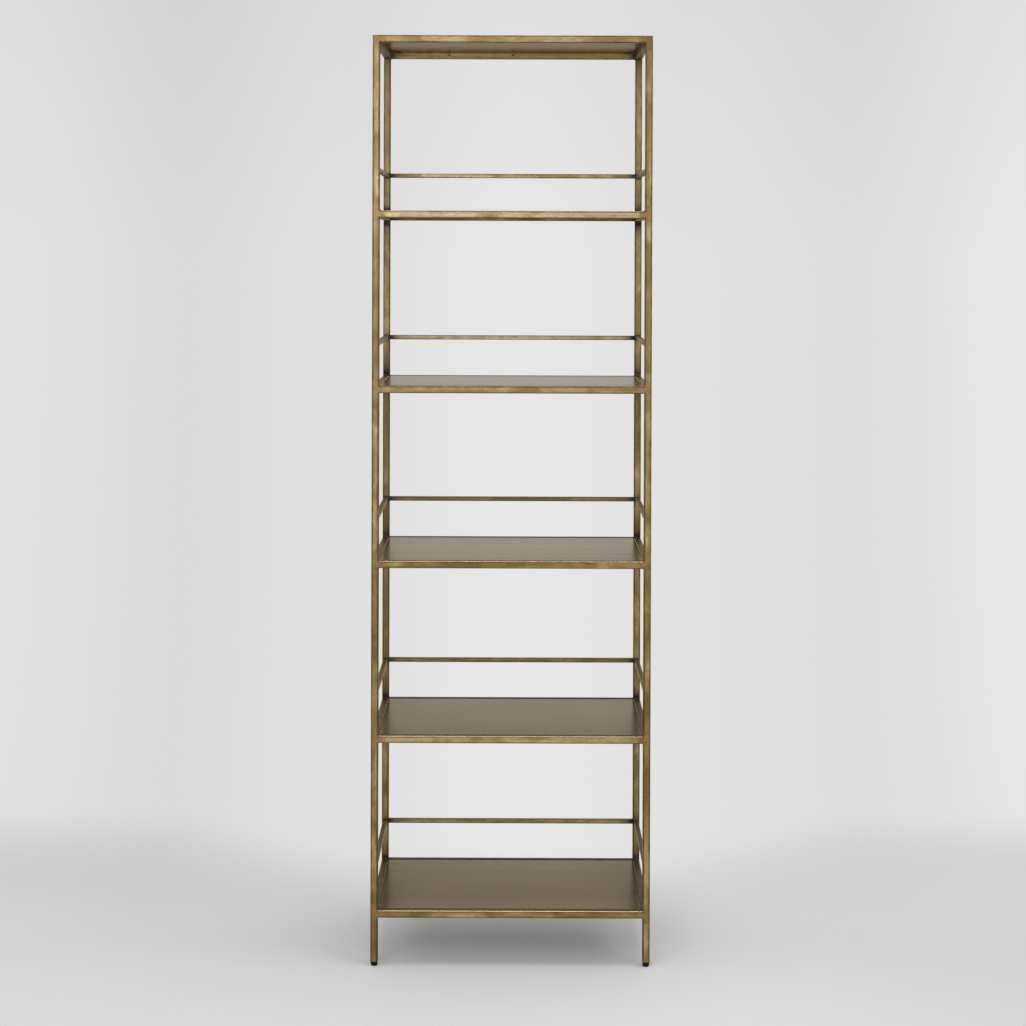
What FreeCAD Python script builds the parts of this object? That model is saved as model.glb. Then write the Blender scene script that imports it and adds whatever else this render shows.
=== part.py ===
import FreeCAD, Part
import math
import os

# Tiered shelf: an open tower of square tube with five shelves and a top,
# each a tube frame round a thin sheet panel, gallery bars at the back and
# sides of every shelf, and a screw-in levelling glide under each post.
# Millimetres. The origin is on the floor under the centre, +Z is up and the
# front faces -Y.

# Overall sizes
overall_width = 610.0
overall_depth = 381.0
shelf_count = 5
shelf_pitch = 382.0
lowest_rail_height = 106.0

# Square tube of the posts and rails
tube_side = 16.0
tube_wall = 1.2
tube_corner_radius = 2.0

# Plates that close the posts at the top
cap_thickness = 3.0
cap_clearance = 0.05

# Sheet panels set into the tier frames
panel_thickness = 1.5
panel_drop = 0.5
panel_gap = 1.5

# Tabs in the corners of each frame, under its panel
tab_leg = 26.0
tab_thickness = 2.0
tab_corner_cut = 4.0
tab_tip_width = 5.0

# Gallery bars above the shelves
bar_side = 10.0
bar_edge_cut = 1.2
bar_rise = 90.0

# Wall anchor holes in the rear rail of the top
anchor_hole_radius = 2.5
anchor_hole_spacing = 150.0
anchor_hole_depth_from_top = 7.0

# Tube inserts that hold the glides
flange_thickness = 1.5
flange_inset = 0.4
flange_corner_cut = 1.6
insert_depth = 22.0
insert_clearance = 0.05
rib_count = 4
rib_pitch = 5.0
rib_land = 0.9
rib_taper_height = 1.6
rib_taper = 0.5
rib_depth = 1.4

# Levelling glides: a round stud in a pad
stud_radius = 3.0
stud_length = 27.0
stud_tip_chamfer = 0.8
head_radius = 5.0
head_thickness = 2.5
running_clearance = 0.05
pad_height = 9.0
pad_radius = 7.7
pad_edge_cut = 1.4
pad_flat_count = 24
pad_floor = 3.0

# How far a cutting tool runs past what it cuts
overrun = 1.0

# Places that follow from the sizes above
inner_side = tube_side - 2 * tube_wall
half_width = overall_width / 2
half_depth = overall_depth / 2
post_x = half_width - tube_side / 2
post_y = half_depth - tube_side / 2
clear_width = overall_width - 2 * tube_side
clear_depth = overall_depth - 2 * tube_side
post_bottom = pad_height + flange_thickness
overall_height = lowest_rail_height + shelf_count * shelf_pitch + tube_side

X_AXIS = FreeCAD.Vector(1, 0, 0)
Y_AXIS = FreeCAD.Vector(0, 1, 0)
Z_AXIS = FreeCAD.Vector(0, 0, 1)
ORIGIN = FreeCAD.Vector(0, 0, 0)

SIDES = {"left": -1, "right": 1}
ENDS = {"front": -1, "rear": 1}


def tier_names():
    """Name of each tier and the height of its rails' undersides, lowest first."""
    names = ["shelf_%d" % (number + 1) for number in range(shelf_count)] + ["top"]
    return [(name, lowest_rail_height + index * shelf_pitch) for index, name in enumerate(names)]


def face_from(points):
    """Flat face inside a closed run of points."""
    return Part.Face(Part.makePolygon(points + [points[0]]))


def rectangle(length, width, height=0.0):
    """Face on the XY plane about the Z axis, lifted to a height."""
    x = length / 2
    y = width / 2
    return face_from([FreeCAD.Vector(px, py, height) for px, py in ((-x, -y), (x, -y), (x, y), (-x, y))])


def round_square(side, radius):
    """Square face on the XY plane about the Z axis, with round corners."""
    half = side / 2
    near = half - radius
    bend = half - radius * (1 - 0.5 ** 0.5)
    arc = Part.Arc(
        FreeCAD.Vector(half, near, 0),
        FreeCAD.Vector(bend, bend, 0),
        FreeCAD.Vector(near, half, 0),
    ).toShape()
    flat = Part.LineSegment(FreeCAD.Vector(near, half, 0), FreeCAD.Vector(-near, half, 0)).toShape()
    edges = []
    for quarter in range(4):
        for edge in (arc, flat):
            turned_edge = edge.copy()
            turned_edge.rotate(ORIGIN, Z_AXIS, 90 * quarter)
            edges.append(turned_edge)
    return Part.Face(Part.Wire(edges))


def bevelled_square(side, cut, height=0.0):
    """Square face with its corners cut off, lifted to a height."""
    half = side / 2
    near = half - cut
    outline = [
        (half, -near),
        (half, near),
        (near, half),
        (-near, half),
        (-half, near),
        (-half, -near),
        (-near, -half),
        (near, -half),
    ]
    return face_from([FreeCAD.Vector(x, y, height) for x, y in outline])


def tube_along_z(length):
    """Square tube with round corners, standing on the XY plane."""
    walls = round_square(tube_side, tube_corner_radius).cut(rectangle(inner_side, inner_side))
    return walls.Faces[0].extrude(Z_AXIS * length)


def bar_along_z(length):
    """Solid square bar with bevelled edges, standing on the XY plane."""
    return bevelled_square(bar_side, bar_edge_cut).extrude(Z_AXIS * length)


def laid_along_x(stick, length, y, z):
    """Lay a piece made along Z along X, centred, at the given place."""
    stick.translate(Z_AXIS * (-length / 2))
    stick.rotate(ORIGIN, Y_AXIS, 90)
    stick.translate(FreeCAD.Vector(0, y, z))
    return stick


def laid_along_y(stick, length, x, z):
    """Lay a piece made along Z along Y, centred, at the given place."""
    stick.translate(Z_AXIS * (-length / 2))
    stick.rotate(ORIGIN, X_AXIS, -90)
    stick.translate(FreeCAD.Vector(x, 0, z))
    return stick


def post(side, end):
    """Corner post, from its insert's flange to the top."""
    shape = tube_along_z(overall_height - post_bottom)
    shape.translate(FreeCAD.Vector(SIDES[side] * post_x, ENDS[end] * post_y, post_bottom))
    return shape


def cross_rail(end, underside):
    """Front or rear rail of a tier, between two posts."""
    return laid_along_x(tube_along_z(clear_width), clear_width, ENDS[end] * post_y, underside + tube_side / 2)


def side_rail(side, underside):
    """Left or right rail of a tier, between two posts."""
    return laid_along_y(tube_along_z(clear_depth), clear_depth, SIDES[side] * post_x, underside + tube_side / 2)


def with_anchor_holes(rail, underside):
    """The rear top rail, drilled right through at its middle and once to the left."""
    height = underside + tube_side - anchor_hole_depth_from_top
    length = tube_side + 2 * overrun
    for x in (0, -anchor_hole_spacing):
        start = FreeCAD.Vector(x, post_y - length / 2, height)
        rail = rail.cut(Part.makeCylinder(anchor_hole_radius, length, start, Y_AXIS))
    return rail


def panel(underside):
    """Sheet panel just below the rail tops, with an even gap round it."""
    sheet = rectangle(clear_width - 2 * panel_gap, clear_depth - 2 * panel_gap)
    shape = sheet.extrude(Z_AXIS * panel_thickness)
    shape.translate(Z_AXIS * (underside + tube_side - panel_drop - panel_thickness))
    return shape


def corner_tab(side, end, underside):
    """Flat gusset welded in a corner of a frame, flush under the panel."""
    outline = [
        (tab_corner_cut, 0),
        (tab_leg, 0),
        (tab_leg, tab_tip_width),
        (tab_tip_width, tab_leg),
        (0, tab_leg),
        (0, tab_corner_cut),
    ]
    height = underside + tube_side - panel_drop - panel_thickness - tab_thickness
    corner_x = SIDES[side] * clear_width / 2
    corner_y = ENDS[end] * clear_depth / 2
    points = [
        FreeCAD.Vector(corner_x - SIDES[side] * across, corner_y - ENDS[end] * along, height)
        for across, along in outline
    ]
    return face_from(points).extrude(Z_AXIS * tab_thickness)


def rear_bar(underside):
    """Gallery bar along the back of a shelf."""
    return laid_along_x(bar_along_z(clear_width), clear_width, post_y, underside + tube_side + bar_rise)


def side_bar(side, underside):
    """Gallery bar along one side of a shelf."""
    height = underside + tube_side + bar_rise
    return laid_along_y(bar_along_z(clear_depth), clear_depth, SIDES[side] * post_x, height)


def post_cap(side, end):
    """Plate let into the top of a post."""
    cap_side = inner_side - 2 * cap_clearance
    shape = rectangle(cap_side, cap_side).extrude(Z_AXIS * cap_thickness)
    shape.translate(FreeCAD.Vector(SIDES[side] * post_x, ENDS[end] * post_y, overall_height - cap_thickness))
    return shape


def insert_rib(base):
    """One flexible rib: a short land on the tube's wall, then a taper upward."""
    side = inner_side - 2 * insert_clearance
    tip = side - 2 * rib_taper
    land = rectangle(side, side, base).extrude(Z_AXIS * rib_land)
    lower = rectangle(side, side, base + rib_land).OuterWire
    upper = rectangle(tip, tip, base + rib_land + rib_taper_height).OuterWire
    return land.fuse(Part.makeLoft([lower, upper], True, True))


def tube_insert(side, end):
    """Ribbed plug pushed into the foot of a post, bored for the stud."""
    flange_side = tube_side - 2 * flange_inset
    core_side = inner_side - 2 * rib_depth
    flange = bevelled_square(flange_side, flange_corner_cut, pad_height)
    core = rectangle(core_side, core_side, pad_height)
    ribs = [insert_rib(post_bottom + rib_pitch * (index + 0.5)) for index in range(rib_count)]
    body = flange.extrude(Z_AXIS * flange_thickness)
    body = body.fuse([core.extrude(Z_AXIS * (flange_thickness + insert_depth))] + ribs).removeSplitter()
    bore_length = flange_thickness + insert_depth + 2 * overrun
    bore_start = FreeCAD.Vector(0, 0, pad_height - overrun)
    body = body.cut(Part.makeCylinder(stud_radius + running_clearance, bore_length, bore_start))
    body.translate(FreeCAD.Vector(SIDES[side] * post_x, ENDS[end] * post_y, 0))
    return body.Solids[0]


def turned(outline):
    """Solid of revolution about Z from radius and height pairs."""
    points = [FreeCAD.Vector(radius, 0, height) for radius, height in outline]
    return face_from(points).revolve(ORIGIN, Z_AXIS, 360)


def glide_stud(side, end):
    """Round-headed stud, its head held inside the pad."""
    top = pad_floor + stud_length
    shape = turned([
        (0, pad_floor),
        (head_radius, pad_floor),
        (head_radius, pad_floor + head_thickness),
        (stud_radius, pad_floor + head_thickness),
        (stud_radius, top - stud_tip_chamfer),
        (stud_radius - stud_tip_chamfer, top),
        (0, top),
    ])
    shape.translate(FreeCAD.Vector(SIDES[side] * post_x, ENDS[end] * post_y, 0))
    return shape


def fluted_disc():
    """Plain body of the pad: finger flats all round and a bevelled lower edge."""
    step = 2 * math.pi / pad_flat_count
    outline = [
        FreeCAD.Vector(pad_radius * math.cos(step * index), pad_radius * math.sin(step * index), 0)
        for index in range(pad_flat_count)
    ]
    disc = face_from(outline).extrude(Z_AXIS * pad_height)
    lower_edges = [edge for edge in disc.Edges if edge.BoundBox.ZMax < pad_edge_cut]
    return disc.makeChamfer(pad_edge_cut, lower_edges)


def glide_pad(side, end):
    """Pad that stands on the floor, moulded round the stud's head, with flats to grip."""
    pocket_radius = head_radius + running_clearance
    neck_radius = stud_radius + running_clearance
    pocket_top = pad_floor + head_thickness + running_clearance
    pocket = turned([
        (0, pad_floor - running_clearance),
        (pocket_radius, pad_floor - running_clearance),
        (pocket_radius, pocket_top),
        (neck_radius, pocket_top),
        (neck_radius, pad_height + overrun),
        (0, pad_height + overrun),
    ])
    body = fluted_disc().cut(pocket)
    body.translate(FreeCAD.Vector(SIDES[side] * post_x, ENDS[end] * post_y, 0))
    return body


def build_parts():
    """Every node's name and shape."""
    parts = {}
    corners = [(side, end) for end in ENDS for side in SIDES]
    for side, end in corners:
        corner = "%s_%s" % (end, side)
        parts["post_" + corner] = post(side, end)
        parts["glide_pad_" + corner] = glide_pad(side, end)
        parts["glide_stud_" + corner] = glide_stud(side, end)
    parts["post_caps"] = Part.makeCompound([post_cap(side, end) for side, end in corners])
    parts["foot_inserts"] = Part.makeCompound([tube_insert(side, end) for side, end in corners])

    tabs = []
    for tier, underside in tier_names():
        for end in ENDS:
            parts["%s_rail_%s" % (tier, end)] = cross_rail(end, underside)
        for side in SIDES:
            parts["%s_rail_%s" % (tier, side)] = side_rail(side, underside)
        parts["%s_panel" % tier] = panel(underside)
        tabs += [corner_tab(side, end, underside) for side, end in corners]
        if tier == "top":
            parts["top_rail_rear"] = with_anchor_holes(parts["top_rail_rear"], underside)
            continue
        parts["%s_gallery_rear" % tier] = rear_bar(underside)
        for side in SIDES:
            parts["%s_gallery_%s" % (tier, side)] = side_bar(side, underside)
    parts["panel_tabs"] = Part.makeCompound(tabs)
    return parts


os.makedirs("parts", exist_ok=True)
for name, shape in build_parts().items():
    shape.exportStep("parts/%s.step" % name)
    print(name, len(shape.Solids), "solid", round(shape.Volume), "mm3")
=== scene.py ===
import itertools
import math
import random

import bmesh
import bpy
from mathutils import Matrix, Vector, noise


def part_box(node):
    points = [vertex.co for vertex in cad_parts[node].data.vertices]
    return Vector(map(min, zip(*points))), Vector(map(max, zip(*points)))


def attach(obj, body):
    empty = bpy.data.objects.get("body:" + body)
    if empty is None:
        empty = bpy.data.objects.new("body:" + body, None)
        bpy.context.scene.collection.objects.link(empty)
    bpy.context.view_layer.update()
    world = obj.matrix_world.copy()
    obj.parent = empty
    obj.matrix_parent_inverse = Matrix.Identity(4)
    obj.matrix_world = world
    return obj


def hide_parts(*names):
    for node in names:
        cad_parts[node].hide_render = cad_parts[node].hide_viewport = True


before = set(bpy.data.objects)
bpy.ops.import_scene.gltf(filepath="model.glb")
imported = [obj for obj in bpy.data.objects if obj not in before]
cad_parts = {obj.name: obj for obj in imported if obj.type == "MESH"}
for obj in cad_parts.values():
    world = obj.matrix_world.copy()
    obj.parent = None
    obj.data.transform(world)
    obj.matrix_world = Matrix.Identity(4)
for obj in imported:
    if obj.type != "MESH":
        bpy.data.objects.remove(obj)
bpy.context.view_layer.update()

# Tiered shelf in an antique brass finish. Everything is in metres.
# The frame's members take their places and sizes from the CAD nodes.

MM = 0.001
CORNERS = [(end, side) for end in ("front", "rear") for side in ("left", "right")]
SHELVES = [f"shelf_{number}" for number in range(1, 6)]
TIERS = SHELVES + ["top"]

# The sides of a shelf that have a gallery bar, and the axis along each
GALLERY = (("rear", 0), ("left", 1), ("right", 1))

# Section of the tube and of the gallery bars
tube_radius = 2.0 * MM
tube_wall = 1.2 * MM
bore_radius = 0.8 * MM
bar_radius = 1.2 * MM
arc_steps = 6
tube_margin = 2.4 * MM
bar_margin = 0.9 * MM

# Turned surfaces and roundings close at this radius
tip_radius = 0.02 * MM

# Rails run this far into the round corners of the posts, so that their faces join
rail_overlap = tube_radius

# Rings along a member: the usual step, and the distances in millimetres from a welded joint
usual_step = 50.0 * MM
BESIDE_JOINTS = (1, 4, 9, 16, 26, 40, 60)

# How far the stain of a weld's heat and the dark patina beside a rear joint reach along a member,
# and how far the painted shade beside a tier reaches
heat_reach = 16.0 * MM
patina_reach = 13.0 * MM
bar_patina_reach = 20.0 * MM
shade_reach = 70.0 * MM

# Weld fillets: smallest and largest leg, above and below each tier
weld_above = {"shelf_5": (3.4 * MM, 5.0 * MM), "shelf_4": (2.0 * MM, 3.0 * MM)}
weld_below = {"top": (2.2 * MM, 3.2 * MM)}
weld_small = (0.9 * MM, 1.4 * MM)
weld_inside = (1.1 * MM, 1.4 * MM)
weld_round_bar = (1.2 * MM, 1.8 * MM)

# Wall holes through the rear top rail
ANCHOR_HOLES = (0.0, -150.0 * MM)
hole_radius = 2.5 * MM
hole_below_top = 7.0 * MM

# Marks that the finish reads at each point: round edge, abraded and painted dark as shade; welding heat;
# rubbing, partly a painted highlight; dark patina, partly painted shade; tone, partly painted light.
# The functions of the frame's members give them in this order.
MARKS = ("edge_wear_and_shade", "stain", "rub_and_highlight", "dark", "tone")

# Heat at which two members begin to share one finish, and at which they share it wholly
JOINED_FROM, JOINED_TO = 0.42, 0.8

# How bright each tier's front upper edge is made by rubbing, partly as a painted highlight, and every lower
# edge and the posts
FRONT_RUB_AND_HIGHLIGHT = {"shelf_1": 1.25, "shelf_2": 0.95, "shelf_3": 1.0, "shelf_4": 0.15, "shelf_5": 0.45, "top": 0.0}
lower_rub_and_highlight = 0.12
post_rub_and_highlight = 0.1

# How dark the top of each tier's side rails is made, and the top of the others'
SIDE_TOP_DARKENING = {"shelf_1": 0.38, "shelf_2": 0.26, "shelf_3": 0.14}
thin_top_darkening = 0.04

# The darkening of a rail's top begins this high above its axis, on its outer and its inner side
outer_darkening_from, inner_darkening_from = 7.9 * MM, 6.2 * MM

# How much of the dark edge line, which is painted shade, a rail's lower edges keep
LOWER_EDGE = {"front": 0.45, "rear": 0.3}

# Painted light: how much lighter the rear top rail's inner face is made close under the panel, where it lies
# in shade
painted_light_under_top = 0.16

# Members that came out lighter or darker than the rest. The rear top rail is made lighter as painted light,
# since its face lies in shade under the top panel.
MEMBER_TONE = {
    "top_rail_front": 0.075, "top_rail_rear": 0.335,
    "shelf_5_rail_front": 0.15, "shelf_4_rail_front": 0.025, "shelf_3_rail_front": -0.035,
    "shelf_2_rail_front": 0.13, "shelf_1_rail_front": 0.055,
    "shelf_5_gallery_rear": 0.165, "shelf_4_gallery_rear": 0.215, "shelf_3_gallery_rear": -0.13,
    "shelf_2_gallery_rear": 0.03, "shelf_1_gallery_rear": 0.145,
    "post_rear_left": -0.045, "post_rear_right": 0.01,
}

# Lighter and darker stretches of a member, partly patina and partly painted light and shade: middle of the
# stretch, reach along the member, change of tone
STRETCHES = {
    "top_rail_front": ((0.22, 0.1, -0.14), (-0.26, 0.05, -0.1)),
    "top_rail_rear": ((0.26, 0.07, -0.13),),
    "shelf_5_rail_front": ((-0.21, 0.08, 0.22),),
    "shelf_5_gallery_rear": ((0.26, 0.05, -0.25),),
    "shelf_4_gallery_rear": ((0.26, 0.05, -0.08),),
    "shelf_2_gallery_rear": ((0.26, 0.06, -0.08),),
    "shelf_1_gallery_rear": ((0.26, 0.06, -0.12),),
    "shelf_1_rail_front": ((-0.2, 0.08, -0.14), (0.18, 0.08, -0.14)),
    "post_front_left": (
        (1.95, 0.25, -0.1), (1.45, 0.15, -0.05), (0.75, 0.1, -0.1),
        (0.39, 0.08, 0.07), (0.22, 0.06, 0.04), (0.08, 0.06, -0.12),
    ),
    "post_front_right": (
        (1.91, 0.2, -0.07), (1.5, 0.13, 0.07), (0.77, 0.08, -0.08), (0.54, 0.08, -0.09),
        (0.39, 0.08, -0.16), (0.22, 0.05, 0.04), (0.09, 0.05, 0.04),
    ),
    "post_rear_left": ((1.9, 0.1, -0.06), (1.5, 0.12, 0.02), (1.13, 0.13, -0.18), (0.34, 0.1, 0.12)),
    "post_rear_right": (
        (1.88, 0.14, -0.05), (1.5, 0.12, -0.03), (1.12, 0.12, -0.03), (0.71, 0.08, 0.05), (0.34, 0.1, 0.08),
    ),
}

# Where the heat of a corner's welds left the finish darker, by tier and end
CORNER_TONE = {("top", "front"): -0.14}

# Painted highlight: how much lighter a post's outer half is than its inner one, as on the side the light
# falls on, and the heights between which that grows
PAINTED_SIDE_LIGHT = {"post_front_right": 0.05}
side_light_from, side_light_to = 1.0, 1.4

# Camera, from a least-squares fit to the photograph
camera_place = (0.0084, -4.4811, 1.5586)
camera_yaw = 0.00153
camera_pitch = 0.00704
camera_roll = 0.00328
camera_lens = 69.147
camera_sensor = 36.0
camera_shift = -0.24012

# Tone of the backdrop across the view, from one side to the other, and the distance to it
BACKDROP = (
    (-0.25, 0.76), (-0.164, 0.7), (-0.088, 0.745), (0.0, 0.795), (0.09, 0.755), (0.166, 0.722), (0.255, 0.8),
)
backdrop_from, backdrop_to = -0.3, 0.3
backdrop_reach = 4.5

dice = random.Random(7)


# Mesh building

def put_in_scene(name, data):
    """A new object in the scene."""
    made = bpy.data.objects.new(name, data)
    bpy.context.scene.collection.objects.link(made)
    return made


class Shape:
    """Points and faces of a piece while it is made, with the marks that its finish reads at each point."""

    def __init__(self):
        self.points, self.faces = [], []
        self.marks = {mark: [] for mark in MARKS}

    def ring(self, points, **marks):
        """Adds points and their marks, 0 where none is given, and returns the points' numbers."""
        first = len(self.points)
        self.points += [Vector(point) for point in points]
        for mark, values in self.marks.items():
            given = marks.get(mark, 0.0)
            values += given if isinstance(given, list) else [given] * len(points)
        return list(range(first, len(self.points)))

    def band(self, lower, upper):
        """Faces between two closed rings."""
        for index in range(len(lower)):
            after = (index + 1) % len(lower)
            self.faces.append((lower[index], lower[after], upper[after], upper[index]))

    def skin(self, rings):
        """Faces between each ring and the next."""
        for lower, upper in zip(rings, rings[1:]):
            self.band(lower, upper)

    def lid(self, ring, flipped=False):
        """One flat face inside a ring."""
        self.faces.append(tuple(reversed(ring)) if flipped else tuple(ring))

    def closed_skin(self, rings):
        """Faces between the rings, and a lid at each end."""
        self.skin(rings)
        self.lid(rings[0], flipped=True)
        self.lid(rings[-1])

    def piece(self, name, material, slot, body="frame", stands_for=(), crease=40.0, tidy_normals=False):
        """Makes the mesh object and rides it on its body. Its slot is not used."""
        mesh = bpy.data.meshes.new(name)
        mesh.from_pydata(self.points, [], self.faces)
        for mark, values in self.marks.items():
            mesh.attributes.new(mark, "FLOAT", "POINT").data.foreach_set("value", values)
        if tidy_normals:
            work = bmesh.new()
            work.from_mesh(mesh)
            bmesh.ops.recalc_face_normals(work, faces=work.faces)
            work.to_mesh(mesh)
            work.free()
        mesh.validate()
        mesh.shade_smooth()
        mesh.set_sharp_from_angle(angle=math.radians(crease))
        mesh.materials.append(material)
        made = put_in_scene(name, mesh)
        made.modifiers.new("face_weighted_normals", "WEIGHTED_NORMAL").keep_sharp = True
        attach(made, body)
        if stands_for:
            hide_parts(*stands_for)
        return made


def rounded_square(half, radius, margin=0.0):
    """Outline of a square with round corners, counter-clockwise, and how far each of its points lies on a
    round edge, which the finish abrades and paints dark as shade.
    """
    outline, edge_wear_and_shade = [], []
    for quarter in range(4):
        turn = Matrix.Rotation(math.radians(90 * quarter), 2)
        corner = [(half, half - radius - margin, 0.0)] if margin else []
        for step in range(arc_steps + 1):
            angle = math.radians(90) * step / arc_steps
            across, up = half - radius + radius * math.cos(angle), half - radius + radius * math.sin(angle)
            corner.append((across, up, 0.5 + 0.5 * math.sin(2 * angle)))
        if margin:
            corner.append((half - radius - margin, half, 0.0))
        outline += [turn @ Vector((across, up)) for across, up, _ in corner]
        edge_wear_and_shade += [worn_and_shaded_edge for _, _, worn_and_shaded_edge in corner]
    return outline, edge_wear_and_shade


def quarter_arc(radius, steps):
    """Distances of the points of a quarter circle from its two tangents."""
    angles = [math.radians(90) * step / steps for step in range(steps + 1)]
    return [(radius * (1 - math.cos(angle)), radius * (1 - math.sin(angle))) for angle in angles]


def rounded_corner(centre_radius, centre_height, radius, start, stop, steps=5):
    """Points of an arc in an outline, angles in degrees."""
    points = []
    for step in range(steps + 1):
        angle = math.radians(start + (stop - start) * step / steps)
        points.append((centre_radius + radius * math.cos(angle), centre_height + radius * math.sin(angle)))
    return points


def laid(axis, along, outline, centre):
    """Puts a flat outline across an axis, at a place along it."""
    placed = []
    for point in outline:
        spot = [0.0, 0.0, 0.0]
        spot[axis] = along
        spot[(axis + 1) % 3] = centre[(axis + 1) % 3] + point[0]
        spot[(axis + 2) % 3] = centre[(axis + 2) % 3] + point[1]
        placed.append(spot)
    return placed


def turned(centre, radii, height):
    """Points round an upright axis, one for each radius."""
    points = []
    for step, radius in enumerate(radii):
        angle = 2 * math.pi * step / len(radii)
        points.append((centre.x + radius * math.cos(angle), centre.y + radius * math.sin(angle), height))
    return points


def stations(low, high, joints):
    """Places for rings along a member, close together near its welded joints."""
    even = max(1, round((high - low) / usual_step))
    places = {low + (high - low) * step / even for step in range(even + 1)}
    for joint, offset, sign in itertools.product(joints, BESIDE_JOINTS, (-1, 1)):
        place = joint + sign * offset * MM
        if low + 0.5 * MM < place < high - 0.5 * MM:
            places.add(round(place, 5))
    return sorted(places)


def stick(axis, low, high, centre, half, radius, margin, joints, marks):
    """Outer rings of a straight member with round edges."""
    shape = Shape()
    outline, edge_wear_and_shade = rounded_square(half, radius, margin)
    rings = []
    for place in stations(low, high, joints):
        points = laid(axis, place, outline, centre)
        found = zip(*(marks(point, place, worn_and_shaded_edge) for point, worn_and_shaded_edge in zip(points, edge_wear_and_shade)))
        rings.append(shape.ring(points, **dict(zip(MARKS, map(list, found)))))
    shape.skin(rings)
    return shape, rings


def member(node, across=2):
    """Centre of a straight member's node, half its width across, and its lowest and highest corner."""
    low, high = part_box(node)
    return (low + high) / 2, (high[across] - low[across]) / 2, low, high


# Marks along the frame's members

def fading(place, joints, reach, full=4.0 * MM):
    """1 close to a joint, and less and less with the distance from it."""
    return max(math.exp(-max(abs(place - joint) - full, 0) / reach) for joint in joints)


def growing(value, low, high):
    """0 up to the low end of a range, 1 from its high end on."""
    return min(max((value - low) / (high - low), 0.0), 1.0)


def tone_at(node, place, heated, corner=0.0):
    """How much lighter or darker a member is made at a place along it, partly painted light. Corners share
    one tone.
    """
    tone = MEMBER_TONE.get(node, 0.0)
    for middle, reach, change in STRETCHES.get(node, ()):
        tone += change * math.exp(-((place - middle) / reach) ** 2)
    shared = growing(heated, JOINED_FROM, JOINED_TO)
    return tone * (1.0 - shared) + corner * shared


def upper_edge(tier, where, outward):
    """Rubbing, partly a painted highlight, and darkening on the outer or inner upper edge of a rail; beside
    the panel and at the rear the darkening is painted shade.
    """
    if where == "front":
        return (FRONT_RUB_AND_HIGHLIGHT[tier], 0.3) if outward else (0.05, 0.75)
    if where == "rear":
        return (0.15, 0.7) if outward else (0.0, 1.0)
    return 0.6, SIDE_TOP_DARKENING.get(tier, thin_top_darkening)


def marks_of_rail(node, axis, centre, joints):
    """Marks along a rail: upper edges bright from rubbing and a painted highlight, painted shade beside the
    panel and at the top's front, and dark patina at the rear corners.
    """
    tier, where = node.split("_rail_")
    at_front = [joint for joint in joints if where == "front" or (axis == 1 and joint < 0)]
    at_rear = [joint for joint in joints if joint not in at_front]

    def marks(point, place, worn_and_shaded_edge):
        away = Vector(point) - centre
        up = away.z > 0
        outward = away[1 - axis] * centre[1 - axis] > 0
        behind_panel = where == "rear" and up and not outward
        rub_and_highlight, dark = upper_edge(tier, where, outward) if up else (lower_rub_and_highlight, 0.0)
        if away.z < (outer_darkening_from if outward else inner_darkening_from):
            dark = 0.0
        if behind_panel:
            worn_and_shaded_edge = 0.0
        elif not up:
            worn_and_shaded_edge *= LOWER_EDGE.get(where, 1.0)
        if at_rear:
            dark = max(dark, 0.85 * fading(place, at_rear, patina_reach))
        # Painted shade under the top's side rails near the front, and in the top's inner front corners
        if tier == "top" and at_front:
            if where != "front" and not up:
                dark = max(dark, fading(place, at_front, shade_reach, full=60.0 * MM))
            elif not outward:
                dark = max(dark, 0.9 * fading(place, at_front, patina_reach))
        heated = fading(place, joints, heat_reach)
        end = where if axis == 0 else "front" if place < 0 else "rear"
        tone = tone_at(node, place, heated, CORNER_TONE.get((tier, end), 0.0))
        if tier == "top" and behind_panel:
            tone += painted_light_under_top
        return worn_and_shaded_edge, heated, rub_and_highlight, dark, tone

    return marks


def marks_of_bar(node, axis, centre, joints):
    """Marks along a gallery bar: dark patina where it meets the rear posts, less at the front ones."""
    least_dark = 0.3 if axis == 1 else 0.0

    def marks(point, place, worn_and_shaded_edge):
        shares = [(joint, 0.95 if axis == 0 or joint > 0 else 0.5) for joint in joints]
        dark = max(share * fading(place, [joint], bar_patina_reach) for joint, share in shares)
        heated = fading(place, joints, heat_reach)
        rub_and_highlight = 0.35 if point[2] > centre.z else 0.1
        tone = tone_at(node, place, heated)
        return worn_and_shaded_edge, heated, rub_and_highlight, max(dark, least_dark), tone

    return marks


def rear_post_dark(place, joints, bars, high_up):
    """Darkening along a rear post: dark patina close beside tiers and bars, painted shade reaching wider
    beside the tiers, and thin elsewhere.
    """
    close = fading(place, joints, patina_reach, full=9.0 * MM)
    wide = fading(place, joints, shade_reach, full=10.0 * MM)
    beside_bar = fading(place, bars, patina_reach / 2, full=5.0 * MM)
    return max(0.07 + 0.34 * wide + 0.58 * close, 0.6 * beside_bar) * (0.55 if high_up else 1.0)


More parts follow.
